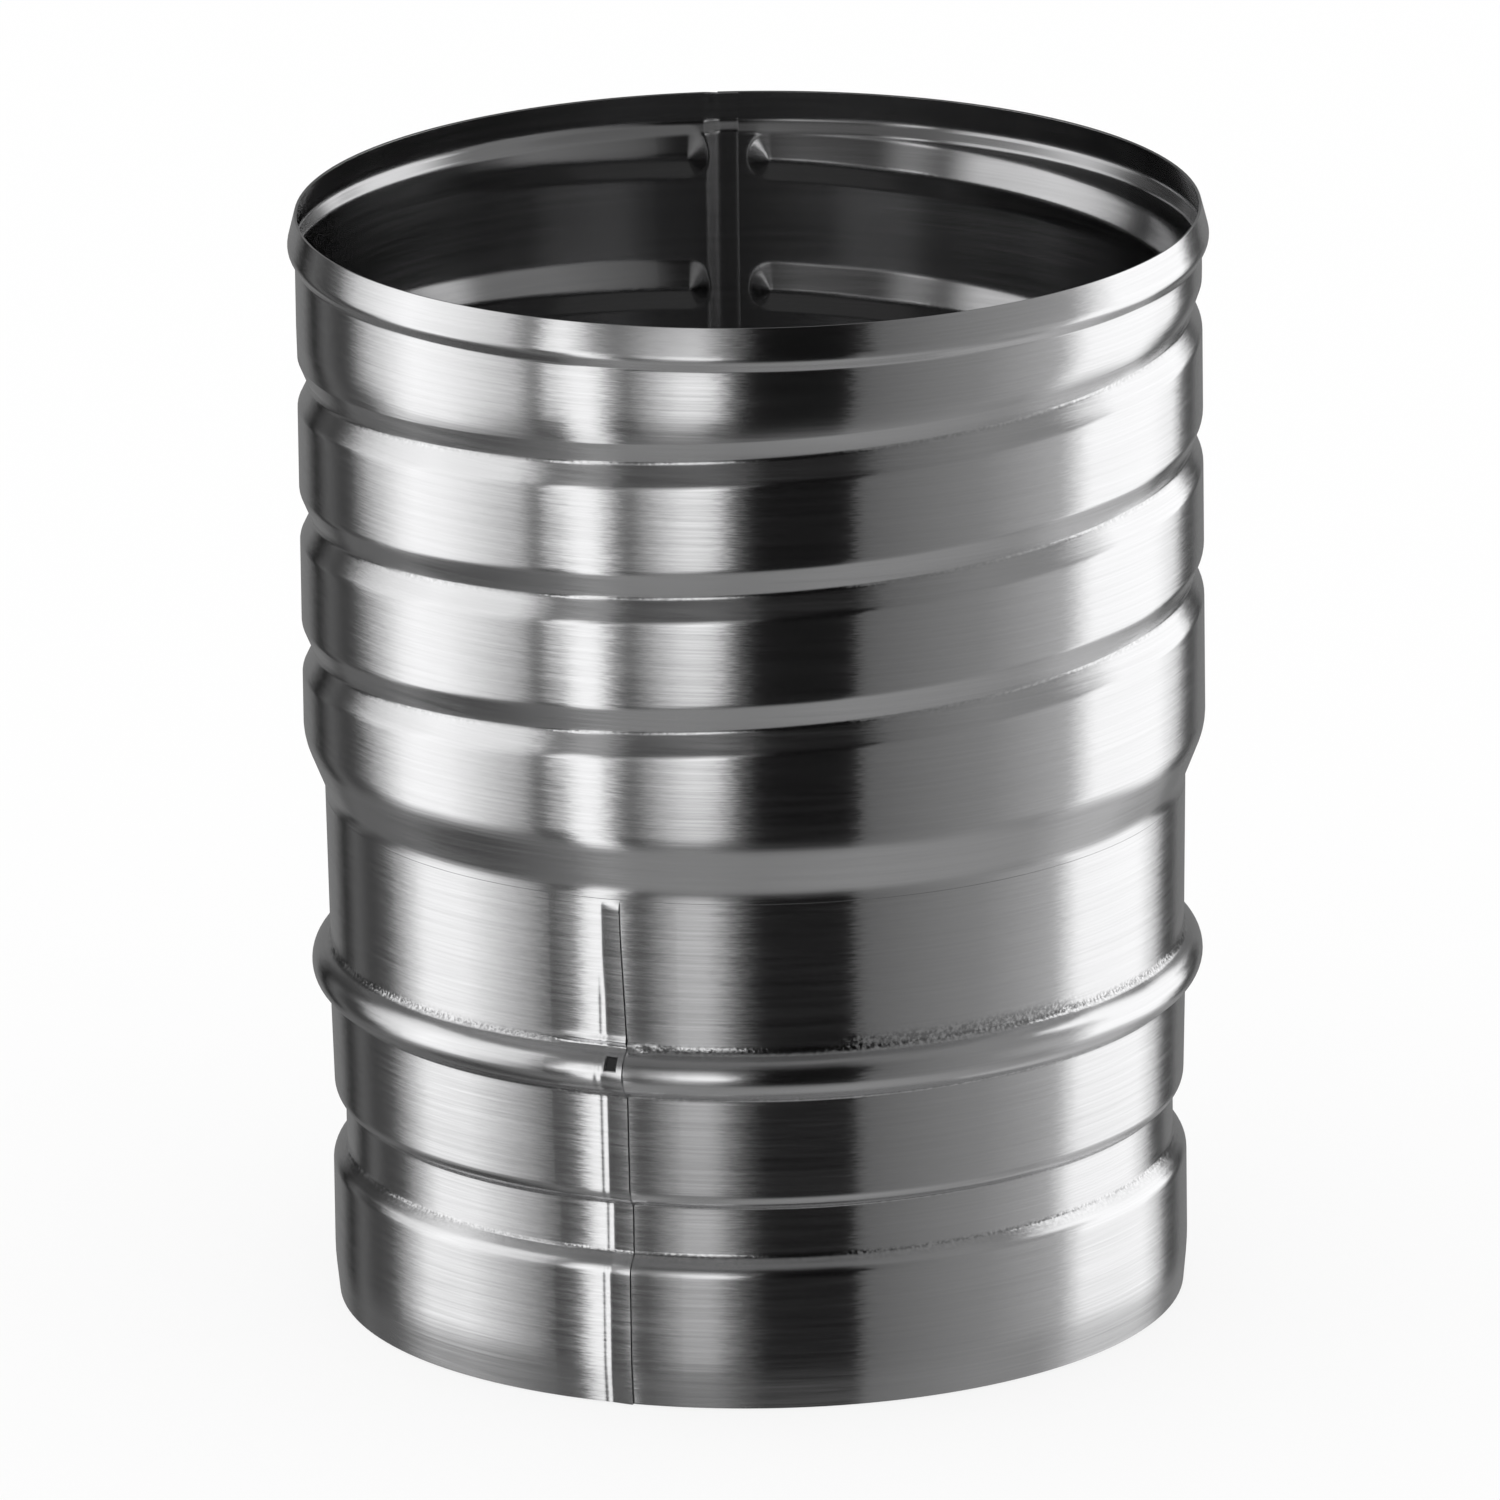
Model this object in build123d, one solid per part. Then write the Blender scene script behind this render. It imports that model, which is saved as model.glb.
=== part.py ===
from build123d import *
from build123d.topology import SkipClean
import math
import os

# Stainless flue adapter: a sleeve that screws onto a corrugated liner, drawn in to a
# beaded spigot that pushes into a 150 mm pipe. Millimetres, +Z up, axis on Z.

# Sheet, diameters and height
SHEET = 0.5
SPIGOT_OD = 149.5
SLEEVE_OD = 157.2
HEIGHT = 194.6
SPIGOT_R = SPIGOT_OD / 2
SLEEVE_R = SLEEVE_OD / 2

# Rolled rim at the mouth: flares out to a crest, then steps back to the sleeve
RIM_PROUD = 1.35
RIM_CREST_DROP = 5.4
RIM_NECK_DROP = 7.9

# Draw-in from sleeve to neck, with the weld between the two rolled tubes at its foot
DRAW_TOP_Z = 101.8
WELD_Z = 92.4
NECK_R = SPIGOT_R + 0.1

# Stop bead, half of its upright section
BEAD_Z = 60.1
BEAD_PROUD = 3.15
BEAD_CREST_HALF = 1.2
BEAD_SHOULDER_PROUD = 2.05
BEAD_SHOULDER_HALF = 3.1
BEAD_HALF = 4.3
WALL_R = SPIGOT_R - 0.2

# Flat-bottomed groove: a steep step in at its top, a sloped step out at its foot
GROOVE_TOP_Z = 36.8
GROOVE_TOP_STEP = 1.1
GROOVE_FOOT_Z = 24.6
GROOVE_FOOT_STEP = 2.3
GROOVE_FLOOR_R = SPIGOT_R - 2.45

# Foot of the spigot, turned in as a lead
LEAD_Z = 6.9
LEAD_IN = 0.75

# Pressed thread: right-hand turns, each running out just short of the sleeve seam
THREAD_PITCH = 23.95
THREAD_TURNS = 3
THREAD_TOP_Z = 182.7
THREAD_DEPTH = 2.15
THREAD_HALF_WIDTH = 3.6
THREAD_RUN_OUT = 4.5
THREAD_END_GAP = 2.5
THREAD_OVERRUN = 0.25

# Lap seams: the sheet end climbs off the wall by less than a sheet, pressed flat.
# The sleeve wall starts its turn away from its seam.
SLEEVE_SEAM_ANGLE = 92.8
SLEEVE_START = 135.0
SLEEVE_LAP = 3.4
SPIGOT_SEAM_ANGLE = 249.4
SPIGOT_LAP = 3.9
LAP_RISE = 0.32
LAP_COVER = 0.1
LAP_TOP_GAP = 1.2

# Split in the spigot lap where the bead crosses it
SPLIT_ANGLE = 250.8
SPLIT_WIDTH = 1.7
SPLIT_TALL = 2.2
SPLIT_DEEP = 3.0
SPLIT_RISE = 1.9


def inset(points, depth):
    """Outline of (radius, height) points moved into the metal by depth."""
    normals = []
    for (r0, z0), (r1, z1) in zip(points, points[1:]):
        length = math.hypot(r1 - r0, z1 - z0)
        normals.append(((z1 - z0) / length, (r0 - r1) / length))
    moved = [(points[0][0] + depth / normals[0][0], points[0][1])]
    for (r, z), before, after in zip(points[1:-1], normals, normals[1:]):
        bend = 1 + before[0] * after[0] + before[1] * after[1]
        step_r = depth * (before[0] + after[0]) / bend
        step_z = depth * (before[1] + after[1]) / bend
        moved.append((r + step_r, z + step_z))
    moved.append((points[-1][0] + depth / normals[-1][0], points[-1][1]))
    return moved


def sheet_face(points, near=0.0, far=SHEET):
    """Section of a sheet that follows an outline, between two depths below it."""
    ring = inset(points, near) + inset(points, far)[::-1]
    return Plane.XZ * Face(Wire(Polyline(*ring, close=True)))


def lap(face, seam_angle, width, radius, outward):
    """Free end of a rolled sheet: its section turned about a shifted axis, off the wall."""
    axis = Axis((0, radius * LAP_RISE / width, 0), (0, 0, 1 if outward else -1))
    return Rot(0, 0, seam_angle) * revolve(face, axis, math.degrees(width / radius))


def one_turn(depth, half_width, lip):
    """One thread turn: a V section swept up the helix, running out to a point at each end."""
    rise = lip + depth
    reach = half_width * rise / depth
    section = Face(Wire(Polyline((-depth, 0), (lip, reach), (lip, -reach), close=True)))
    stop = math.degrees((THREAD_END_GAP + THREAD_RUN_OUT) / SLEEVE_R)
    path = Helix(THREAD_PITCH, THREAD_PITCH * (360 - 2 * stop) / 360, SLEEVE_R)
    start = Plane(origin=path @ 0, x_dir=(1, 0, 0), z_dir=path % 0)
    end_dir = Vector(1, 0, 0).rotate(Axis.Z, -2 * stop)
    finish = Plane(origin=path @ 1, x_dir=end_dir, z_dir=path % 1)
    run_out = THREAD_RUN_OUT * rise / depth
    tail = loft([start * section, Vertex(*(start * Pos(lip, 0, -run_out)).position)], ruled=True)
    nose = loft([finish * section, Vertex(*(finish * Pos(lip, 0, run_out)).position)], ruled=True)
    turn = sweep(start * section, path=path, is_frenet=True) + tail + nose
    seam_middle = SLEEVE_SEAM_ANGLE - math.degrees(SLEEVE_LAP / 2 / SLEEVE_R)
    foot_z = THREAD_TOP_Z - THREAD_PITCH * (360 - stop) / 360
    return Pos(0, 0, foot_z) * Rot(0, 0, seam_middle + stop) * turn


# Outlines of the outer face, mouth to foot
sleeve_points = [
    (SLEEVE_R, HEIGHT),
    (SLEEVE_R + RIM_PROUD, HEIGHT - RIM_CREST_DROP),
    (SLEEVE_R, HEIGHT - RIM_NECK_DROP),
    (SLEEVE_R, DRAW_TOP_Z),
    (NECK_R, WELD_Z),
]
below_weld = [
    (NECK_R, BEAD_Z + BEAD_HALF),
    (NECK_R + BEAD_SHOULDER_PROUD, BEAD_Z + BEAD_SHOULDER_HALF),
    (NECK_R + BEAD_PROUD, BEAD_Z + BEAD_CREST_HALF),
    (NECK_R + BEAD_PROUD, BEAD_Z - BEAD_CREST_HALF),
    (NECK_R + BEAD_SHOULDER_PROUD, BEAD_Z - BEAD_SHOULDER_HALF),
    (WALL_R, BEAD_Z - BEAD_HALF),
    (WALL_R, GROOVE_TOP_Z),
    (GROOVE_FLOOR_R, GROOVE_TOP_Z - GROOVE_TOP_STEP),
    (GROOVE_FLOOR_R, GROOVE_FOOT_Z + GROOVE_FOOT_STEP),
    (SPIGOT_R, GROOVE_FOOT_Z),
    (SPIGOT_R, LEAD_Z),
    (SPIGOT_R - LEAD_IN, 0),
]

# Sleeve: wall of four quarters, thread ridge inside, thread groove outside, seam lap inside
quarter = revolve(sheet_face(sleeve_points), Axis.Z, 90)
flank = math.atan2(THREAD_DEPTH, THREAD_HALF_WIDTH)
ridge_depth = THREAD_DEPTH + SHEET / math.cos(flank)
ridge = one_turn(ridge_depth, ridge_depth / math.tan(flank), THREAD_OVERRUN - SHEET)
groove = one_turn(THREAD_DEPTH, THREAD_HALF_WIDTH, THREAD_OVERRUN)
inner_lap = sheet_face(sleeve_points, near=LAP_COVER)
with SkipClean():
    threaded_sleeve = Rot(0, 0, SLEEVE_START) * quarter
    for side in range(1, 4):
        threaded_sleeve += Rot(0, 0, SLEEVE_START + 90 * side) * quarter
    for turn in range(THREAD_TURNS):
        threaded_sleeve += Pos(0, 0, -turn * THREAD_PITCH) * ridge
    for turn in range(THREAD_TURNS):
        threaded_sleeve -= Pos(0, 0, -turn * THREAD_PITCH) * groove
    threaded_sleeve += lap(inner_lap, SLEEVE_SEAM_ANGLE, SLEEVE_LAP, SLEEVE_R, outward=False)

# Spigot: wall, seam lap outside, split in the lap on the bead
spigot_points = [(NECK_R, WELD_Z)] + below_weld
spigot = Rot(0, 0, SPIGOT_SEAM_ANGLE) * revolve(sheet_face(spigot_points), Axis.Z)
outer_lap = sheet_face([(NECK_R, WELD_Z - LAP_TOP_GAP)] + below_weld, far=SHEET - LAP_COVER)
spigot += lap(outer_lap, SPIGOT_SEAM_ANGLE, SPIGOT_LAP, SPIGOT_R, outward=True)
split = Pos(NECK_R + BEAD_PROUD, 0, BEAD_Z + SPLIT_RISE) * Box(SPLIT_DEEP, SPLIT_WIDTH, SPLIT_TALL)
spigot -= Rot(0, 0, SPLIT_ANGLE) * split

os.makedirs("parts", exist_ok=True)
export_step(threaded_sleeve, "parts/threaded_sleeve.step")
export_step(spigot, "parts/spigot.step")
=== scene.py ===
"""Stainless flue adapter: two rolled tubes of brushed sheet on a pale studio floor."""

import logging
import math
from dataclasses import dataclass
from enum import Enum
from typing import Any, Sequence

import bmesh
import bpy
from mathutils import Matrix, Vector


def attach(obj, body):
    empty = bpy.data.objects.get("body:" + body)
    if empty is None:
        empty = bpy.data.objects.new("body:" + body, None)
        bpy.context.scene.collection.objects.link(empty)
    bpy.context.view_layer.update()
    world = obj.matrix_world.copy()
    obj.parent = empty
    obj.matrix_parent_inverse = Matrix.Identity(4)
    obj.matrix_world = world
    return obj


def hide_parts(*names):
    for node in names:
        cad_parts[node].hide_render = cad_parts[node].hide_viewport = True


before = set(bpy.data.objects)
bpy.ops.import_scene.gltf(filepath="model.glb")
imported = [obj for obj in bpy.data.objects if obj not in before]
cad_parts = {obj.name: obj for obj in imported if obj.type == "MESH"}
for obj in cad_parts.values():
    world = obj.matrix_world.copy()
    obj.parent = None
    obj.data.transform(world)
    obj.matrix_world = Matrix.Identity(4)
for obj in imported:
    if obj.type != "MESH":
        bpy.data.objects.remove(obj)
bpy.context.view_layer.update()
LOG = logging.getLogger("flue_adapter")
MM = 0.001
PHOTO_SIDE = 1500


class Tone(Enum):
    """How bright a studio card looks in the metal, as a linear strength."""

    BLACK = 0.006
    SHADE = 0.06
    DIM = 0.16
    ASH = 0.22
    GREY = 0.31
    FOG = 0.36
    MIST = 0.58
    PALE = 0.85
    BRIGHT = 1.20
    LAMP = 1.50


@dataclass(frozen=True)
class Corner:
    """One corner of an upright outline, in millimetres.

    Args:
        r: Distance from the tube's axis.
        z: Height above the foot.
        round: Radius that the sheet is bent to at this corner.
    """

    r: float
    z: float
    round: float = 0.0


@dataclass(frozen=True)
class Row:
    """One row of the rolled sheet, at the start of its turn, in millimetres.

    Args:
        r: Distance from the tube's axis.
        z: Height above the foot.
        climb: Height that the row gains in one turn round the tube.
    """

    r: float
    z: float
    climb: float = 0.0


def bent_outline(corners: Sequence[Corner], bend_step: float = 11.0) -> list[tuple[float, float]]:
    """Turns corners with bend radii into an outline of straight runs and arcs.

    Args:
        corners: Corners in order along the sheet.
        bend_step: Largest turn between two points of an arc, in degrees.

    Returns:
        Points of the outline as (r, z), in millimetres.
    """
    points = [(corners[0].r, corners[0].z)]
    for before, corner, after in zip(corners, corners[1:], corners[2:]):
        here = Vector((corner.r, corner.z))
        back = (Vector((before.r, before.z)) - here).normalized()
        ahead = (Vector((after.r, after.z)) - here).normalized()
        turn = math.pi - back.angle(ahead)
        if corner.round <= 0 or turn < 1e-4:
            points.append((corner.r, corner.z))
            continue
        reach = corner.round * math.tan(turn / 2)
        centre = here + (back + ahead).normalized() * corner.round / math.cos(turn / 2)
        first = here + back * reach - centre
        side = 1.0 if back.cross(ahead) < 0 else -1.0
        count = max(2, math.ceil(math.degrees(turn) / bend_step))
        for step in range(count + 1):
            spoke = Matrix.Rotation(side * turn * step / count, 2) @ first
            points.append(tuple(centre + spoke))
    points.append((corners[-1].r, corners[-1].z))
    return points


def with_near_rows(
    points: Sequence[tuple[float, float]],
    steps: Sequence[float] = (0.5, 1.2),
    longest: float = 3.0,
) -> list[tuple[float, float]]:
    """Adds points close to the bends at both ends of each long straight run.

    Args:
        points: Points of an outline as (r, z), in millimetres.
        steps: Distances from a bend at which a point is added, in millimetres.
        longest: Length of run that gets none.

    Returns:
        The outline with the added points.
    """
    filled = [points[0]]
    for start, end in zip(points, points[1:]):
        run = math.dist(start, end)
        if run > longest:
            shares = [step / run for step in steps]
            for share in shares + [1 - share for share in reversed(shares)]:
                filled.append(tuple(painted_shade + (far - painted_shade) * share for painted_shade, far in zip(start, end)))
        filled.append(end)
    return filled


def smooth_step(low: float, high: float, value: float) -> float:
    """Eases from 0 at low to 1 at high.

    Args:
        low: Where the ease starts.
        high: Where the ease ends.
        value: Where it is read.

    Returns:
        The eased share, from 0 to 1.
    """
    share = min(1.0, max(0.0, (value - low) / (high - low)))
    return share * share * (3 - 2 * share)


class NodeSheet:
    """A node tree under construction, with short calls to add and link its nodes."""

    def __init__(self, tree: bpy.types.NodeTree) -> None:
        """Starts from an empty tree."""
        self.tree = tree
        tree.nodes.clear()

    def add(self, kind: str, *values: Any, **settings: Any) -> bpy.types.Node:
        """Adds a node and fills its sockets in order.

        Args:
            kind: Blender's type name of the node.
            values: A socket to link or a value to set for each input, None to leave it.
            settings: Properties of the node.

        Returns:
            The new node.
        """
        node = self.tree.nodes.new(kind)
        for key, value in settings.items():
            setattr(node, key, value)
        for socket, value in zip(node.inputs, values):
            self.fill(socket, value)
        return node

    def fill(self, socket: bpy.types.NodeSocket, value: Any) -> None:
        """Links a socket to another, or sets its value.

        Args:
            socket: Input socket to fill.
            value: Socket to link it to or value to set, None to leave it.
        """
        if isinstance(value, bpy.types.NodeSocket):
            self.tree.links.new(value, socket)
        elif value is not None:
            socket.default_value = value

    def math(self, operation: str, *values: Any) -> bpy.types.NodeSocket:
        """Adds a Math node and returns its result."""
        return self.add("ShaderNodeMath", *values, operation=operation).outputs[0]

    def vector(self, operation: str, *values: Any) -> bpy.types.NodeSocket:
        """Adds a Vector Math node and returns its vector result."""
        return self.add("ShaderNodeVectorMath", *values, operation=operation).outputs[0]

    def scaled(self, vector: Any, factor: Any) -> bpy.types.NodeSocket:
        """Scales a vector by one factor.

        Args:
            vector: Vector socket or value.
            factor: Number socket or value.

        Returns:
            The scaled vector.
        """
        node = self.add("ShaderNodeVectorMath", vector, operation="SCALE")
        self.fill(node.inputs["Scale"], factor)
        return node.outputs[0]

    def ranged(
        self, value: Any, low: float, high: float, to_low: float = 0.0, to_high: float = 1.0,
    ) -> bpy.types.NodeSocket:
        """Maps a number from one range to another, held at the ends.

        Args:
            value: Number socket.
            low: Start of the range that is read.
            high: End of the range that is read.
            to_low: Result at the start.
            to_high: Result at the end.

        Returns:
            The mapped number.
        """
        return self.add("ShaderNodeMapRange", value, low, high, to_low, to_high).outputs[0]

    def ramp(self, value: Any, stops: Sequence[tuple[float, float]]) -> bpy.types.NodeSocket:
        """Reads a grey ramp.

        Args:
            value: Number socket, from 0 to 1.
            stops: Places and grey levels in order.

        Returns:
            The ramp's colour.
        """
        node = self.add("ShaderNodeValToRGB", value)
        band = node.color_ramp
        while len(band.elements) < len(stops):
            band.elements.new(1.0)
        for element, (place, level) in zip(band.elements, stops):
            element.position = place
            element.color = (level, level, level, 1.0)
        return node.outputs[0]


@dataclass(frozen=True)
class BrushedSteel:
    """Stainless sheet, brushed round the tube.

    Args:
        name: Name of the material.
        light: Colour of the bare metal on a bright hairline.
        dark: Colour of the bare metal in a dull hairline.
        roughness: Mean roughness of the brushed face.
        grain: How far the roughness strays from one hairline to the next.
        stretch: How much more the sheet blurs across the hairlines than along them.
        sway: Sideways tilt of the face from one hairline to the next.
        tip: Upright tilt of the face from one hairline to the next.
        inner_shade: Share of the colour that is left on the inner face, painted shade that darkens the inside
            of the tube.
        scuff: Tilt of the grains where a bend has scuffed the face.
        grains: Grains per metre in a scuffed bend.
        fine_lines: Changes per metre along and across the fine hairlines.
        broad_lines: The same for the broad ones.
        short_lines: The same for the short ones.
        stain: Share of the colour that the darkest grains of a scuffed bend lose.
    """

    name: str = "brushed_stainless"
    light: tuple[float, float, float] = (0.665, 0.665, 0.672)
    dark: tuple[float, float, float] = (0.60, 0.60, 0.605)
    roughness: float = 0.19
    grain: float = 0.07
    stretch: float = 0.90
    sway: float = 0.017
    tip: float = 0.03
    inner_shade: float = 0.72
    scuff: float = 0.6
    grains: float = 1500.0
    fine_lines: tuple[float, float] = (24.0, 2600.0)
    broad_lines: tuple[float, float] = (30.0, 1100.0)
    short_lines: tuple[float, float] = (420.0, 4200.0)
    stain: float = 0.75

    def material(self) -> bpy.types.Material:
        """Builds the material.

        Returns:
            The finished material.
        """
        material = bpy.data.materials.new(self.name)
        material.use_nodes = True
        sheet = NodeSheet(material.node_tree)
        place = sheet.add("ShaderNodeTexCoord").outputs["Object"]
        fine = self.hairlines(sheet, place, *self.fine_lines)
        broad = self.hairlines(sheet, place, *self.broad_lines)
        short = self.hairlines(sheet, place, *self.short_lines)
        cloud = sheet.add("ShaderNodeTexNoise", place, None, 16.0, 3.0, 0.55).outputs[0]

        steel = sheet.add("ShaderNodeBsdfPrincipled")
        steel.inputs["Metallic"].default_value = 1.0
        steel.inputs["Anisotropic"].default_value = self.stretch
        mottle = sheet.math("ADD", fine, sheet.math("MULTIPLY", cloud, 0.5))
        share = sheet.ranged(mottle, 0.45, 1.05)
        tint = sheet.add("ShaderNodeMix", data_type="RGBA")
        sheet.fill(tint.inputs["Factor"], share)
        tint.inputs["A"].default_value = (*self.dark, 1.0)
        tint.inputs["B"].default_value = (*self.light, 1.0)
        facing = sheet.add("ShaderNodeNewGeometry").outputs["Normal"]
        wear = sheet.add("ShaderNodeAttribute", attribute_name="wear").outputs["Fac"]
        grit = sheet.add("ShaderNodeTexNoise", place, None, self.grains, 2.0, 0.6).outputs
        outward = sheet.vector("MULTIPLY", place, (1.0, 1.0, 0.0))
        toward = sheet.add("ShaderNodeVectorMath", facing, outward, operation="DOT_PRODUCT")
        outer = sheet.ranged(toward.outputs["Value"], -0.012, 0.004)
        # Painted shade: the inner face keeps only part of its colour, so the inside of the tube looks darker.
        painted_inner_shade = sheet.ranged(outer, 0.0, 1.0, self.inner_shade, 1.0)
        stained = sheet.math("MULTIPLY", wear, sheet.ranged(grit[0], 0.40, 0.62, self.stain, 0.0))
        # The colour's share joins the painted inner shade with the real stain of the scuffed bends.
        inner_shade_and_stain = sheet.math("MULTIPLY", painted_inner_shade, sheet.math("SUBTRACT", 1.0, stained))
        sheet.fill(steel.inputs["Base Color"], sheet.scaled(tint.outputs["Result"], inner_shade_and_stain))
        half = self.grain / 2
        rough = sheet.ranged(broad, 0.25, 0.75, self.roughness - half, self.roughness + half)
        sheet.fill(steel.inputs["Roughness"], rough)

        around = sheet.vector("NORMALIZE", sheet.vector("CROSS_PRODUCT", (0.0, 0.0, 1.0), place))
        upright = sheet.vector("CROSS_PRODUCT", facing, around)
        sheet.fill(steel.inputs["Tangent"], upright)
        swing = sheet.scaled(around, sheet.ranged(short, 0.2, 0.8, -self.sway, self.sway))
        nod = sheet.scaled(upright, sheet.ranged(fine, 0.2, 0.8, -self.tip, self.tip))
        brushed = sheet.scaled(sheet.vector("ADD", swing, nod), outer)
        bumps = sheet.vector("SUBTRACT", grit[1], (0.5, 0.5, 0.5))
        rubbed = sheet.scaled(bumps, sheet.math("MULTIPLY", wear, self.scuff))
        tilted = sheet.vector("ADD", sheet.vector("ADD", facing, rubbed), brushed)
        sheet.fill(steel.inputs["Normal"], sheet.vector("NORMALIZE", tilted))
        sheet.add("ShaderNodeOutputMaterial", steel.outputs[0])
        return material

    def hairlines(self, sheet: NodeSheet, place: Any, along: float, across: float) -> bpy.types.NodeSocket:
        """Adds a noise that is drawn out round the tube.

        Args:
            sheet: Node tree of the material.
            place: Socket with the place on the tube.
            along: Changes per metre along a hairline.
            across: Changes per metre from one hairline to the next.

        Returns:
            The noise, from 0 to 1.
        """
        mapped = sheet.add("ShaderNodeMapping", place)
        mapped.inputs["Scale"].default_value = (along, along, across)
        return sheet.add("ShaderNodeTexNoise", mapped.outputs[0], None, 1.0, 3.0, 0.65).outputs[0]


@dataclass
class RolledTube:
    """A tube rolled from one sheet, lapped on itself at an upright seam.

    Args:
        name: Name of the finished piece.
        node: Name of the solid that it stands for.
        sheet: Thickness of the sheet, in millimetres.
        lap_start: Angle at which the under end of the sheet starts, in degrees.
        lap: Angle that the two ends overlap, in degrees.
        climb: Height that a row of the thread gains in one turn, in millimetres.
        columns: Steps round the whole sheet.
        fine_columns: Steps at each end that are laid close together.
        fine_reach: Angle that those close steps cover, in degrees.
        edge_trim: Width of the bevel on the cut edges, in millimetres.
    """

    name: str
    node: str
    sheet: float = 0.5
    lap_start: float = 0.0
    lap: float = 2.5
    climb: float = 23.95
    columns: int = 250
    fine_columns: int = 44
    fine_reach: float = 11.0
    edge_trim: float = 0.09

    def rows(self) -> list[Row]:
        """Gives the rows of the sheet, mouth to foot."""
        raise NotImplementedError

    def place(self, r: float, z: float, turned: float) -> tuple[float, float, float]:
        """Gives the bent place of a point; the plain sheet keeps it.

        Args:
            r: Distance from the axis on the plain sheet, in millimetres.
            z: Height, in millimetres.
            turned: Angle from the start of the sheet, in degrees.

        Returns:
            The radius and height of the outer face, in millimetres, and its angle, in degrees.
        """
        return r, z, turned

    def wear(self, z: float, turned: float) -> float:
        """Tells how scuffed the face is, from 0 to 1; the plain sheet isn't."""
        return 0.0

    def cut(self, mesh: bmesh.types.BMesh) -> None:
        """Takes openings out of the sheet; the plain sheet has none."""

    def angle_at(self, share: float) -> float:
        """Spreads the steps round the sheet, close together at its two ends.

        Args:
            share: Share of the even steps, from 0 to 1.

        Returns:
            Angle from the start of the sheet, in degrees.
        """
        whole = 360.0 + self.lap
        edge = self.fine_columns / self.columns
        if share < edge:
            return self.fine_reach * share / edge
        if share > 1 - edge:
            return whole - self.fine_reach * (1 - share) / edge
        return self.fine_reach + (whole - 2 * self.fine_reach) * (share - edge) / (1 - 2 * edge)

    def rolled(self) -> bmesh.types.BMesh:
        """Spins the upright outline round and sets each point of the sheet.

        Returns:
            The outer face of the sheet, one face thick.
        """
        mesh = bmesh.new()
        layers = mesh.verts.layers.float
        for name in ("rest_r", "rest_z", "gain", "wear"):
            layers.new(name)
        rest_r, rest_z, gain, scuffed = (layers[name] for name in ("rest_r", "rest_z", "gain", "wear"))
        chain = []
        for row in self.rows():
            point = mesh.verts.new((row.r * MM, 0.0, row.z * MM))
            point[rest_r], point[rest_z], point[gain] = row.r, row.z, row.climb
            chain.append(point)
        edges = [mesh.edges.new(pair) for pair in zip(chain, chain[1:])]
        lift = Vector((0.0, 0.0, self.climb * MM / self.columns))
        bmesh.ops.spin(
            mesh, geom=chain + edges, cent=(0.0, 0.0, 0.0), axis=(0.0, 0.0, 1.0), dvec=lift,
            angle=math.tau, steps=self.columns, use_merge=False, use_duplicate=False,
        )
        for point in mesh.verts:
            share = (point.co.z / MM - point[rest_z]) / self.climb
            turned = self.angle_at(min(1.0, max(0.0, share)))
            height = point[rest_z] + point[gain] * turned / 360.0
            point[scuffed] = self.wear(height, turned)
            r, z, turned = self.place(point[rest_r], height, turned)
            angle = math.radians(self.lap_start + turned)
            point.co = Vector((r * math.cos(angle), r * math.sin(angle), z)) * MM
        for name in ("rest_r", "rest_z", "gain"):
            layers.remove(layers[name])
        return mesh

    def build(self) -> bpy.types.Object:
        """Makes the piece: the rolled sheet, its openings, its thickness and its trimmed edges.

        Returns:
            The finished object, standing for its solid.
        """
        mesh = self.rolled()
        self.cut(mesh)
        bmesh.ops.remove_doubles(mesh, verts=mesh.verts[:], dist=1e-7)
        bmesh.ops.recalc_face_normals(mesh, faces=mesh.faces[:])
        self.face_outwards(mesh)
        for face in mesh.faces:
            face.smooth = True
        data = bpy.data.meshes.new(self.name)
        mesh.to_mesh(data)
        mesh.free()
        piece = bpy.data.objects.new(self.name, data)
        bpy.context.scene.collection.objects.link(piece)
        wall = piece.modifiers.new("sheet_thickness", "SOLIDIFY")
        wall.thickness = self.sheet * MM
        wall.offset = -1.0
        wall.use_even_offset = True
        trim = piece.modifiers.new("trimmed_edge", "BEVEL")
        trim.width = self.edge_trim * MM
        trim.segments = 2
        trim.profile = 0.5
        trim.limit_method = "ANGLE"
        trim.angle_limit = math.radians(60.0)
        trim.harden_normals = True
        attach(piece, "root")
        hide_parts(self.node)
        return piece

    def face_outwards(self, mesh: bmesh.types.BMesh) -> None:
        """Turns the open sheet over if its faces look at the axis.

        Args:
            mesh: The open sheet.
        """
        outward = 0.0
        for face in mesh.faces:
            outward += face.normal.xy.dot(face.calc_center_median().xy)
        if outward < 0:
            bmesh.ops.reverse_faces(mesh, faces=mesh.faces[:])

    def dress(self, piece: bpy.types.Object, steel: bpy.types.Material) -> None:
        """Gives the piece its finish."""
        piece.data.materials.append(steel)


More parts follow.
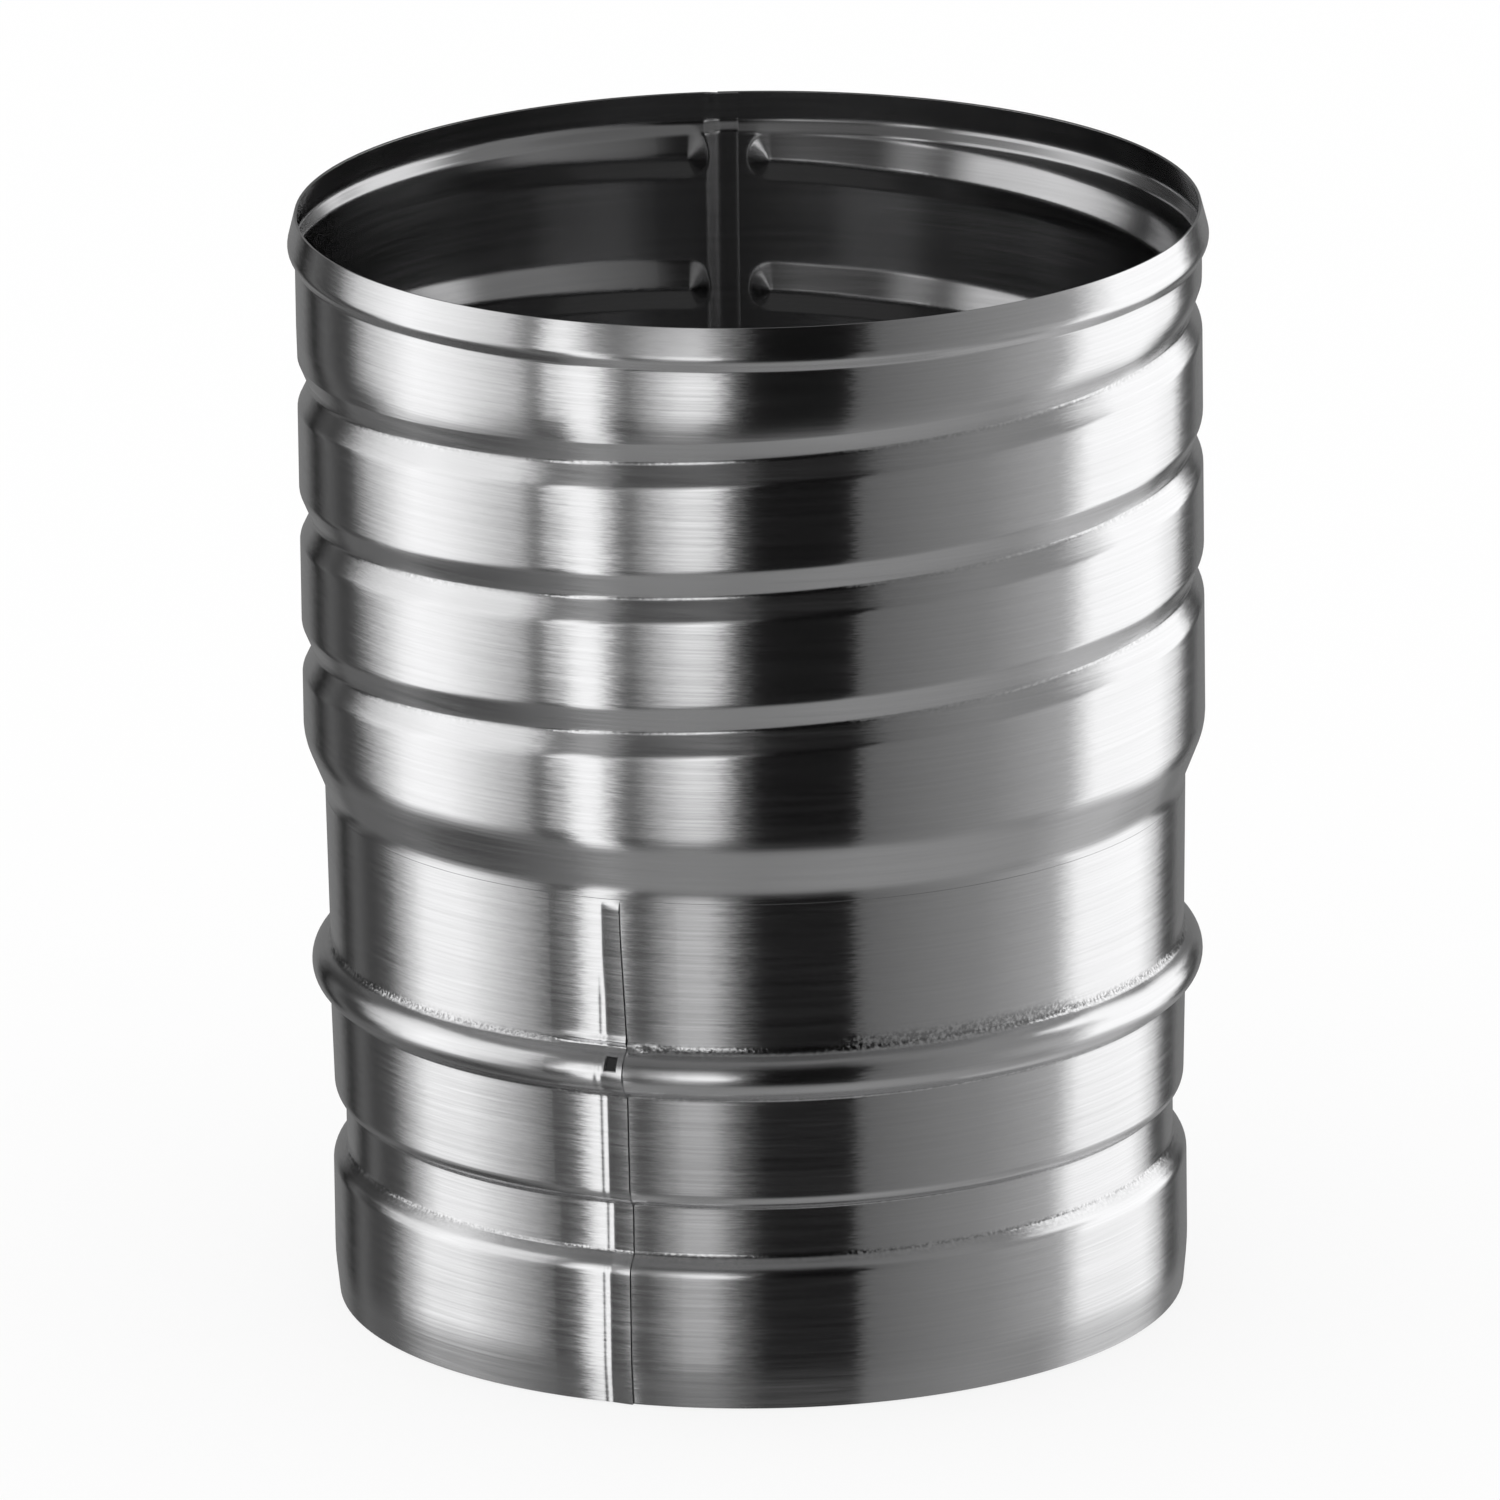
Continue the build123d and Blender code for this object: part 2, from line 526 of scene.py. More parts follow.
@dataclass
class ThreadedSleeve(RolledTube):
    """The upper tube: rolled rim, pressed thread of three turns and the draw-in at its foot.

    Sizes are in millimetres and angles in degrees.
    """

    name: str = "sleeve_sheet"
    node: str = "threaded_sleeve"
    lap_start: float = 91.1
    lap: float = 2.6
    radius: float = 78.6
    height: float = 194.6
    # Rolled rim
    rim_proud: float = 1.45
    rim_crest_drop: float = 5.7
    rim_crest_round: float = 2.2
    rim_neck_drop: float = 7.7
    rim_neck_round: float = 1.0
    rim_tail: float = 0.35
    mouth_drop: float = 0.4
    # Draw-in
    draw_lead: float = 2.2
    draw_top: float = 101.8
    draw_top_round: float = 11.0
    draw_foot: float = 92.95
    draw_foot_round: float = 7.2
    draw_bend_step: float = 3.0
    weld: float = 91.1
    neck_radius: float = 75.04
    # Pressed thread
    turns: int = 3
    first_turn: float = 110.85
    groove_half: float = 4.54
    groove_stretch: float = 1.2
    groove_depth: float = 1.9
    groove_slope: float = 26.5
    groove_floor_round: float = 0.9
    groove_side_round: float = 2.2
    end_gap: float = 3.0
    run_out_start: float = 14.0
    run_out: float = 48.0
    floor_wear: float = 0.22
    floor_wear_half: float = 0.4
    # Tuck of the under end at the seam
    tuck_clear: float = 0.03
    tuck_dip: float = 0.12
    tuck_ramp: float = 2.0
    neck_slip: float = 0.55

    def rows(self) -> list[Row]:
        """Gives the rows of the sleeve, mouth to foot.

        Returns:
            Rows of the rim, of each thread turn and of the draw-in.
        """
        neck_z = self.height - self.rim_neck_drop
        rim = bent_outline([
            Corner(self.radius, self.height),
            Corner(self.radius + self.rim_proud, self.height - self.rim_crest_drop, self.rim_crest_round),
            Corner(self.radius, neck_z, self.rim_neck_round),
            Corner(self.radius, neck_z - self.rim_tail),
        ])
        foot = bent_outline([
            Corner(self.radius, self.draw_top + self.draw_lead),
            Corner(self.radius, self.draw_top, self.draw_top_round),
            Corner(self.neck_radius, self.draw_foot, self.draw_foot_round),
            Corner(self.neck_radius, self.weld),
        ], self.draw_bend_step)
        # Steps down from the middle of a turn: close on the floor and the lower bend, then one on the wall.
        below = [0.15, 0.3, 0.45, 1.0, 2.0, 3.0, 3.56, 3.8, 4.05, 4.3, 4.56, 7.0]
        above = [self.groove_stretch * step for step in reversed(below)]
        across = [*above, 0.0, *(-step for step in below)]
        mouth = above[1:9]
        rows = [Row(r, z) for r, z in rim] + self.mouth_rows(neck_z - self.mouth_drop, mouth)
        for turn in reversed(range(self.turns)):
            middle = self.first_turn + turn * self.climb
            for step in across:
                is_mouth = turn == self.turns - 1 and step >= mouth[-1]
                is_draw = turn == 0 and step < -below[-2]
                if not is_mouth and not is_draw:
                    rows.append(Row(self.radius, middle + step, self.climb))
        rows += [Row(r, z) for r, z in foot]
        return rows

    def mouth_rows(self, top: float, offsets: Sequence[float]) -> list[Row]:
        """Gives the rows between the rim and the top turn, which the climbing turn closes up.

        Args:
            top: Height of the uppermost row.
            offsets: Distances above the top turn that its upper side needs rows at.

        Returns:
            Rows of the run-out beside the seam and of the top turn's upper side.
        """
        middle = self.first_turn + (self.turns - 1) * self.climb
        run_out_rows, run_out_step, wall_row = 15, 0.6, 172.0
        starts = [top - run_out_step * step for step in range(run_out_rows)] + [wall_row]
        starts += [middle + step for step in offsets]
        low = middle + self.climb + offsets[-1]
        last = len(starts) - 1
        ends = [top - 0.02 + (low - top) * (step / last) for step in range(last + 1)]
        return [Row(self.radius, start, end - start) for start, end in zip(starts, ends)]

    def groove(self, away: float) -> float:
        """Gives the depth of the pressed groove at a distance from its middle line.

        Args:
            away: Distance from the middle line, in millimetres.

        Returns:
            Depth below the plain wall, in millimetres.
        """
        slope = math.radians(self.groove_slope)
        floor, side = self.groove_floor_round, self.groove_side_round
        floor_end, side_start = floor * math.sin(slope), self.groove_half - side * math.sin(slope)
        if away < floor_end:
            return self.groove_depth - floor + math.sqrt(floor * floor - away * away)
        if away < side_start:
            return self.groove_depth - floor * (1 - math.cos(slope)) - (away - floor_end) * math.tan(slope)
        if away < self.groove_half:
            return side - math.sqrt(side * side - (self.groove_half - away) ** 2)
        return 0.0

    def wear(self, z: float, turned: float) -> float:
        """Tells how scuffed the floor of the thread is.

        Args:
            z: Height.
            turned: Angle from the start of the sheet, in degrees.

        Returns:
            The wear, from 0 to 1.
        """
        turn = (z - self.first_turn) / self.climb - turned / 360.0
        across = (turn - round(turn)) * self.climb
        on_thread = -0.5 < turn < self.turns - 0.5
        return self.floor_wear * math.exp(-(across / self.floor_wear_half) ** 2) if on_thread else 0.0

    def place(self, r: float, z: float, turned: float) -> tuple[float, float, float]:
        """Presses the thread into the sheet and tucks its start under its end.

        Args:
            r: Distance from the axis on the plain sheet.
            z: Height.
            turned: Angle from the start of the sheet, in degrees.

        Returns:
            The radius and height of the outer face and its angle.
        """
        to_mm = math.radians(1.0) * self.radius
        stop = (self.lap / 2) * to_mm + self.end_gap + self.groove_half
        start_gap = stop - turned * to_mm
        end_gap = stop - (360.0 + self.lap - turned) * to_mm
        along = max(0.0, start_gap, end_gap)
        depth = 0.0
        for turn in range(self.turns + 1):
            middle = self.first_turn + self.climb * (turn + turned / 360.0)
            across = (z - middle) / (self.groove_stretch if z > middle else 1.0)
            pressed = self.groove(math.hypot(across, along))
            if turn == self.turns:
                pressed *= 1 - smooth_step(self.run_out_start, self.run_out, turned)
            depth = max(depth, pressed)
        under = 1 - smooth_step(self.lap - 0.4, self.lap + self.tuck_ramp, turned)
        tuck = (self.sheet + self.tuck_clear + self.tuck_dip * smooth_step(0.0, 0.5, turned)) * under
        neck = self.height - self.rim_neck_drop
        at_neck = smooth_step(neck - 2.5, neck, z) * (1 - smooth_step(neck, neck + 4.0, z))
        return r - depth - tuck, z + self.neck_slip * under * at_neck, turned


@dataclass
class Spigot(RolledTube):
    """The lower tube: neck, stop bead, flat-bottomed groove and turned-in foot.

    Sizes are in millimetres and angles in degrees.
    """

    name: str = "spigot_sheet"
    node: str = "spigot"
    lap_start: float = 248.5
    lap: float = 3.9
    # Lap at the front: its flat start, its rise to the cut edge and the line of the under edge
    lap_rise: float = 0.56
    lap_lean: float = 0.75
    lap_flat: float = 0.2
    lap_line: float = 0.08
    line_high: tuple[float, float] = (73.0, 80.0)
    lap_fade: float = 1.5
    lap_ease: float = 0.2
    under_clear: float = 0.08
    under_reach: float = 0.95
    # Neck
    weld: float = 91.1
    neck_radius: float = 75.04
    neck_foot_radius: float = 74.62
    # Stop bead
    bead_z: float = 60.1
    bead_half: float = 4.2
    bead_apex: float = 7.26
    bead_round: float = 4.1
    bead_crease_round: float = 1.7
    bead_foot_round: float = 0.7
    # Wall and groove
    wall_radius: float = 74.8
    wall_foot_radius: float = 74.3
    wall_foot_round: float = 3.0
    groove_top: float = 36.8
    groove_top_step: float = 1.1
    groove_top_round: float = 0.5
    groove_foot: float = 24.6
    groove_foot_step: float = 2.3
    groove_foot_round: float = 1.2
    groove_floor: float = 72.4
    # Land and foot
    land_radius: float = 74.75
    land_round: float = 2.8
    lead_z: float = 6.9
    lead_in: float = 0.7
    lead_round: float = 40.0
    bend_step: float = 7.0
    # Split in the lap on the bead
    split_from: float = 1.45
    split_to: float = 3.1
    split_low: float = 61.1
    split_high: float = 63.3

    def rows(self) -> list[Row]:
        """Gives the rows of the spigot, weld to foot.

        Returns:
            Rows of the neck, the bead, the groove and the foot.
        """
        crease = self.bead_z + self.bead_half
        # Heights of the neck's rows, close together where the lap fades and above the bead
        neck = [self.weld, 90.7, 90.2, 89.7, 89.2, 88.0, 86.5, 82.0, 80.0, 78.0, 76.0, 74.0, 71.0, 68.5]
        neck += [crease + step for step in (3.0, 2.5, 2.1, 1.7, 1.35)]
        lean = (self.neck_radius - self.neck_foot_radius) / (self.weld - crease)
        outline = [(self.neck_foot_radius + lean * (z - crease), z) for z in neck]
        outline += bent_outline([
            Corner(self.neck_foot_radius + lean * 1.2, crease + 1.2),
            Corner(self.neck_foot_radius, crease, self.bead_crease_round),
            Corner(self.neck_foot_radius + self.bead_apex, self.bead_z, self.bead_round),
            Corner(self.wall_radius, self.bead_z - self.bead_half, self.bead_foot_round),
            Corner(self.wall_radius - 0.02, self.bead_z - self.bead_half - 0.8),
        ], self.bend_step)
        outline += bent_outline([
            Corner(self.wall_radius - 0.04, self.bead_z - self.bead_half - 1.6),
            Corner(self.wall_foot_radius, self.groove_top, self.wall_foot_round),
            Corner(self.groove_floor, self.groove_top - self.groove_top_step, self.groove_top_round),
            Corner(self.groove_floor, self.groove_foot + self.groove_foot_step, self.groove_foot_round),
            Corner(self.land_radius, self.groove_foot, self.land_round),
            Corner(self.land_radius, self.lead_z, self.lead_round),
            Corner(self.land_radius - self.lead_in, 0.0),
        ], self.bend_step)
        return [Row(r, z) for r, z in with_near_rows(outline)]

    def wear(self, z: float, turned: float) -> float:
        """Tells how scuffed the bends are, most of all the one above the bead.

        Args:
            z: Height.
            turned: Angle from the start of the sheet, in degrees.

        Returns:
            The wear, from 0 to 1.
        """
        right = smooth_step(25.0, 40.0, turned) * (1 - smooth_step(58.0, 75.0, turned))
        folded = smooth_step(349.0, 356.0, turned)
        crease = self.bead_z + self.bead_half
        # Middle height, half width and wear of each scuffed band
        bends = (
            (crease + 0.4, 0.6, 0.75 - 0.6 * folded), (crease + 1.4, 1.0, 0.5 * right),
            (self.bead_z - self.bead_half, 0.3, 0.4), (self.groove_top - self.groove_top_step, 0.25, 0.3),
            (self.groove_foot + self.groove_foot_step, 0.35, 0.5),
        )
        return max(share * math.exp(-((z - middle) / half) ** 2) for middle, half, share in bends)

    def lift(self, over: float, z: float) -> float:
        """Gives the share of the lap's rise; low down, the under edge shows through as a faint line.

        Args:
            over: Share of the way from the under edge to the cut edge.
            z: Height.

        Returns:
            The share of the rise, from 0 to 1.
        """
        plain = max(0.0, (over - self.lap_flat) / (1 - self.lap_flat))
        line = self.lap_line * smooth_step(0.0, 0.1, over) * (1 - smooth_step(self.lap_flat, 0.5, over))
        marked = max(plain, line)
        return plain + (marked - plain) * (1 - smooth_step(*self.line_high, z))

    def crumple(self, z: float, turned: float) -> float:
        """Gives the fold and the crumple above the bead, on both sides of the cut edge.

        Args:
            z: Height.
            turned: Angle from the start of the sheet, in degrees.

        Returns:
            How far the face stands out, in millimetres.
        """
        crease = self.bead_z + self.bead_half
        above = z - crease
        fold = smooth_step(351.5, 359.0, turned)
        lip = 0.34 * math.exp(-((above - 1.35) / 0.5) ** 2)
        dent = 0.2 * math.exp(-((above - 0.3) / 0.4) ** 2)
        pucker = 0.4 * math.exp(-((above - 0.2) / 0.6) ** 2 - ((turned - 6.3) / 0.9) ** 2)
        return fold * (lip - dent) + pucker

    def place(self, r: float, z: float, turned: float) -> tuple[float, float, float]:
        """Lifts the outer end of the sheet over the under end, and sinks the under end.

        Args:
            r: Distance from the axis on the plain sheet.
            z: Height.
            turned: Angle from the start of the sheet, in degrees.

        Returns:
            The radius and height of the outer face and its angle.
        """
        fade = 1 - smooth_step(self.weld - self.lap_fade, self.weld, z)
        up = smooth_step(self.bead_z, self.weld, z)
        lean = self.lap_lean * up
        r += self.crumple(z, turned)
        if turned < self.lap:
            under = max(0.0, 1 - turned / (self.under_reach * (self.lap - lean)))
            return r - (self.lap_rise + self.under_clear) * under, z, turned
        over = max(0.0, (turned - 360.0) / self.lap)
        rise = self.lap_rise * (1 - self.lap_ease * up) * fade
        return r + rise * self.lift(over, z), z, turned - lean * over

    def cut(self, mesh: bmesh.types.BMesh) -> None:
        """Opens the split where the bead crosses the lap, through both layers.

        Args:
            mesh: The rolled sheet.
        """
        torn = []
        for face in mesh.faces:
            middle = face.calc_center_median()
            turned = (math.degrees(math.atan2(middle.y, middle.x)) - self.lap_start) % 360.0
            tall = self.split_low < middle.z / MM < self.split_high
            if tall and self.split_from < turned < self.split_to:
                torn.append(face)
        bmesh.ops.delete(mesh, geom=torn, context="FACES")


@dataclass
class Studio:
    """Pale floor and the cards that the metal mirrors, in metres.

    Args:
        tent_radius: Distance of the cards from the object.
        tent_low: Height of the lower edge of the cards.
        tent_high: Height of the upper edge of the cards.
        middle: Height of the object's middle, from which the cards are laid out.
        floor_reach: Half side of the floor.
        shadow: Share of the object's shadow that the white floor keeps.
        shade_patch_radius: Radius of the dark patch of floor, painted shade for the floor under the tube,
            that shows in the tube's inner face.
    """

    tent_radius: float = 0.75
    tent_low: float = -1.5
    tent_high: float = 1.4
    middle: float = 0.1
    floor_reach: float = 14.0
    shadow: float = 0.2
    shade_patch_radius: float = 0.0735

    def build(self) -> None:
        """Makes the floor, the cards and the world."""
        floor = self.floor()
        cards = [self.tent(), self.lid("dark_ceiling", self.tent_high, Tone.ASH),
                 self.lid("grey_ground_card", self.tent_low, Tone.GREY)]
        for card in cards:
            card.visible_camera = False
            card.visible_diffuse = False
            card.visible_shadow = False
            card.visible_transmission = False
        self.world()

    def card_material(self, name: str) -> tuple[bpy.types.Material, NodeSheet]:
        """Starts a material that shines without lighting the floor.

        Args:
            name: Name of the material.

        Returns:
            The material and its node tree.
        """
        material = bpy.data.materials.new(name)
        material.use_nodes = True
        material.cycles.emission_sampling = "NONE"
        return material, NodeSheet(material.node_tree)

    def stage_object(
        self, name: str, mesh: bmesh.types.BMesh, material: bpy.types.Material,
    ) -> bpy.types.Object:
        """Makes a stage object from a mesh.

        Args:
            name: Name of the object.
            mesh: Its shape, used up here.
            material: Its finish.

        Returns:
            The new object.
        """
        data = bpy.data.meshes.new(name)
        mesh.to_mesh(data)
        mesh.free()
        data.materials.append(material)
        stand = bpy.data.objects.new(name, data)
        bpy.context.scene.collection.objects.link(stand)
        return stand

    def floor(self) -> bpy.types.Object:
        """Makes the white floor, which keeps a faint shadow.

        The metal sees past it to the cards, apart from a dark patch inside the tube, which is painted shade
        for the floor under the tube.

        Returns:
            The floor.
        """
        mesh = bmesh.new()
        bmesh.ops.create_grid(mesh, x_segments=1, y_segments=1, size=self.floor_reach)
        bmesh.ops.translate(mesh, verts=mesh.verts[:], vec=(0.0, 0.0, -0.0002))
        material = bpy.data.materials.new("pale_floor")
        material.use_nodes = True
        sheet = NodeSheet(material.node_tree)
        place = sheet.add("ShaderNodeTexCoord").outputs["Object"]
        away = sheet.add("ShaderNodeVectorMath", place, operation="LENGTH").outputs["Value"]
        # Painted shade: glossy rays see a dark floor under the tube, where the real floor lies in the tube's
        # shadow.
        painted_shade = sheet.add("ShaderNodeEmission", (*(Tone.SHADE.value,) * 3, 1.0))
        clear = sheet.add("ShaderNodeBsdfTransparent")
        gone = sheet.math("GREATER_THAN", away, self.shade_patch_radius)
        mirrored = sheet.add("ShaderNodeMixShader", gone, painted_shade.outputs[0], clear.outputs[0])
        shaded = sheet.add("ShaderNodeBsdfDiffuse", (0.985, 0.985, 0.985, 1.0))
        white = sheet.add("ShaderNodeEmission", (1.0, 1.0, 1.0, 1.0), 1.0)
        path = sheet.add("ShaderNodeLightPath").outputs
        keep = sheet.math("SUBTRACT", 1.0, sheet.math("MULTIPLY", path["Is Camera Ray"], 1.0 - self.shadow))
        seen = sheet.add("ShaderNodeMixShader", keep, white.outputs[0], shaded.outputs[0])
        both = sheet.add("ShaderNodeMixShader", path["Is Glossy Ray"], seen.outputs[0], mirrored.outputs[0])
        material.cycles.emission_sampling = "NONE"
        sheet.add("ShaderNodeOutputMaterial", both.outputs[0])
        return self.stage_object("floor", mesh, material)

    def tent(self) -> bpy.types.Object:
        """Makes the ring of cards round the object.

        Returns:
            The ring.
        """
        mesh = bmesh.new()
        ends = [mesh.verts.new((self.tent_radius, 0.0, z)) for z in (self.tent_low, self.tent_high)]
        rail = mesh.edges.new(ends)
        bmesh.ops.spin(
            mesh, geom=[*ends, rail], cent=(0.0, 0.0, 0.0), axis=(0.0, 0.0, 1.0),
            angle=math.tau, steps=128, use_merge=True, use_duplicate=False,
        )
        material, sheet = self.card_material("card_ring")
        place = sheet.add("ShaderNodeTexCoord").outputs["Object"]
        split = sheet.add("ShaderNodeSeparateXYZ", place).outputs
        turn = sheet.math("ARCTAN2", split[0], sheet.math("MULTIPLY", split[1], -1.0))
        share = sheet.ranged(turn, -math.pi, math.pi)
        rise = sheet.math("DIVIDE", sheet.math("SUBTRACT", split[2], self.middle), self.tent_radius)
        level = sheet.ramp(share, self.stops(self.ground_cards()))
        # Each row of cards, with the heights over distance between which it takes over
        rows = (
            (self.foot_cards(), -0.82, -0.72), (self.low_cards(), -0.52, -0.45), (self.cards(), -0.27, -0.17),
            (self.rim_cards(), 0.08, 0.18), (self.high_cards(), 0.42, 0.52), (self.crown_cards(), 0.80, 0.92),
        )
        for cards, low, high in rows:
            level = self.above(sheet, level, sheet.ramp(share, self.stops(cards)), rise, low, high)
        glow = sheet.add("ShaderNodeEmission", level)
        sheet.add("ShaderNodeOutputMaterial", glow.outputs[0])
        return self.stage_object("card_ring", mesh, material)

    def above(
        self, sheet: NodeSheet, under: Any, over: Any, rise: Any, low: float, high: float,
    ) -> bpy.types.NodeSocket:
        """Goes from one row of cards to the next with height.

        Args:
            sheet: Node tree of the ring.
            under: Colour of the lower row.
            over: Colour of the upper row.
            rise: Height over distance, the tangent of the angle above level.
            low: Where the change starts.
            high: Where the change ends.

        Returns:
            The joined colour.
        """
        mixed = sheet.add("ShaderNodeMix", data_type="RGBA")
        sheet.fill(mixed.inputs["Factor"], sheet.ranged(rise, low, high))
        sheet.fill(mixed.inputs["A"], under)
        sheet.fill(mixed.inputs["B"], over)
        return mixed.outputs["Result"]

    def stops(self, cards: Sequence[tuple[float, Tone]]) -> list[tuple[float, float]]:
        """Turns degrees round the ring into places on the ramp."""
        return [((angle + 180.0) / 360.0, tone.value) for angle, tone in cards]

    def cards(self) -> list[tuple[float, Tone]]:
        """Lists the middle row of cards, by degrees right of the camera."""
        return [
            (-180, Tone.ASH), (-151, Tone.ASH), (-141, Tone.BLACK), (-132, Tone.DIM), (-124, Tone.SHADE),
            (-117, Tone.SHADE), (-108, Tone.PALE), (-90, Tone.LAMP), (-72, Tone.BRIGHT), (-58, Tone.PALE),
            (-54.5, Tone.GREY), (-52.5, Tone.ASH), (-50, Tone.BRIGHT), (-46.5, Tone.LAMP),
            (-38, Tone.LAMP), (-33, Tone.MIST), (-30, Tone.DIM), (-23, Tone.PALE), (-16, Tone.LAMP),
            (-9, Tone.LAMP), (-4, Tone.DIM), (0, Tone.BLACK), (24, Tone.BLACK), (26, Tone.DIM),
            (57, Tone.GREY), (82, Tone.MIST), (91, Tone.LAMP), (131, Tone.LAMP), (137.5, Tone.DIM),
            (145, Tone.SHADE), (153, Tone.ASH), (180, Tone.ASH),
        ]

    def low_cards(self) -> list[tuple[float, Tone]]:
        """Lists the lower row of cards, which the spigot mirrors."""
        return [
            (-180, Tone.ASH), (-151, Tone.ASH), (-141, Tone.BLACK), (-132, Tone.DIM), (-124, Tone.SHADE),
            (-113, Tone.SHADE), (-106, Tone.MIST), (-97, Tone.LAMP), (-82, Tone.LAMP), (-58.5, Tone.GREY),
            (-54.5, Tone.BLACK), (-48, Tone.BLACK), (-44.5, Tone.LAMP), (-39, Tone.LAMP),
            (-34, Tone.SHADE), (-29, Tone.SHADE), (-19, Tone.MIST), (-13, Tone.MIST), (-8, Tone.DIM),
            (-3, Tone.SHADE), (1, Tone.BLACK), (24, Tone.BLACK), (26, Tone.DIM), (60, Tone.GREY),
            (84, Tone.MIST), (92, Tone.LAMP), (121, Tone.LAMP), (130, Tone.PALE), (136.5, Tone.SHADE),
            (144, Tone.SHADE), (151, Tone.ASH), (180, Tone.ASH),
        ]

    def ground_cards(self) -> list[tuple[float, Tone]]:
        """Lists what downturned flanks mirror, far below level."""
        return [
            (-180, Tone.DIM), (-122, Tone.DIM), (-108, Tone.SHADE), (-88, Tone.SHADE), (-74, Tone.DIM),
            (-60, Tone.ASH), (-48, Tone.GREY), (0, Tone.GREY), (30, Tone.FOG), (95, Tone.FOG),
            (108, Tone.MIST), (140, Tone.MIST), (180, Tone.DIM),
        ]

    def foot_cards(self) -> list[tuple[float, Tone]]:
        """Lists the row of cards that the turned-in foot mirrors."""
        return [
            (-180, Tone.DIM), (-115, Tone.DIM), (-108, Tone.ASH), (-60, Tone.DIM), (-49, Tone.SHADE),
            (-45, Tone.LAMP), (-39, Tone.LAMP), (-34, Tone.SHADE), (-22, Tone.DIM), (-12, Tone.DIM),
            (0, Tone.BLACK), (24, Tone.BLACK), (28, Tone.DIM), (60, Tone.GREY), (80, Tone.GREY),
            (92, Tone.MIST), (119, Tone.MIST), (134, Tone.FOG), (160, Tone.GREY), (180, Tone.DIM),
        ]

    def rim_cards(self) -> list[tuple[float, Tone]]:
        """Lists the row of cards that the flared rim mirrors."""
        return [
            (-180, Tone.ASH), (-155, Tone.ASH), (-146, Tone.SHADE), (-128, Tone.SHADE), (-123, Tone.DIM),
            (-114, Tone.PALE), (-104, Tone.BRIGHT), (-88, Tone.LAMP), (-72, Tone.BRIGHT),
            (-60, Tone.PALE), (-55, Tone.GREY), (-52, Tone.ASH), (-49, Tone.BRIGHT), (-45, Tone.LAMP),
            (-42, Tone.BRIGHT), (-37, Tone.GREY), (-32, Tone.ASH), (-22, Tone.MIST), (-12, Tone.PALE),
            (-7, Tone.FOG), (-3, Tone.DIM), (2, Tone.BLACK), (27, Tone.BLACK), (30, Tone.DIM),
            (60, Tone.GREY), (84, Tone.FOG), (92, Tone.PALE), (99, Tone.LAMP), (138, Tone.LAMP),
            (145, Tone.FOG), (153, Tone.DIM), (180, Tone.ASH),
        ]

    def high_cards(self) -> list[tuple[float, Tone]]:
        """Lists the upper row of cards, which upturned flanks mirror."""
        return [
            (-180, Tone.DIM), (-125, Tone.DIM), (-110, Tone.BRIGHT), (-66, Tone.BRIGHT), (-56, Tone.DIM),
            (-50, Tone.DIM), (-45, Tone.GREY), (-41, Tone.GREY), (-36, Tone.SHADE), (-5, Tone.SHADE),
            (0, Tone.BLACK), (24, Tone.BLACK), (32, Tone.DIM), (60, Tone.GREY), (84, Tone.GREY),
            (93, Tone.LAMP), (125, Tone.LAMP), (138, Tone.DIM), (180, Tone.DIM),
        ]

    def crown_cards(self) -> list[tuple[float, Tone]]:
        """Lists the topmost cards, just under the ceiling."""
        return [
            (-180, Tone.DIM), (-120, Tone.ASH), (-70, Tone.ASH), (-50, Tone.DIM), (-6, Tone.DIM),
            (0, Tone.SHADE), (24, Tone.SHADE), (40, Tone.ASH), (80, Tone.GREY), (110, Tone.GREY),
            (140, Tone.DIM), (180, Tone.DIM),
        ]

    def lid(self, name: str, height: float, tone: Tone) -> bpy.types.Object:
        """Closes the ring of cards with a flat disc.

        Args:
            name: Name of the disc.
            height: Its height.
            tone: How bright it looks in the metal.

        Returns:
            The disc.
        """
        mesh = bmesh.new()
        bmesh.ops.create_circle(mesh, cap_ends=True, segments=64, radius=self.tent_radius)
        bmesh.ops.translate(mesh, verts=mesh.verts[:], vec=(0.0, 0.0, height))
        material, sheet = self.card_material(name)
        glow = sheet.add("ShaderNodeEmission", (tone.value,) * 3 + (1.0,))
        sheet.add("ShaderNodeOutputMaterial", glow.outputs[0])
        return self.stage_object(name, mesh, material)

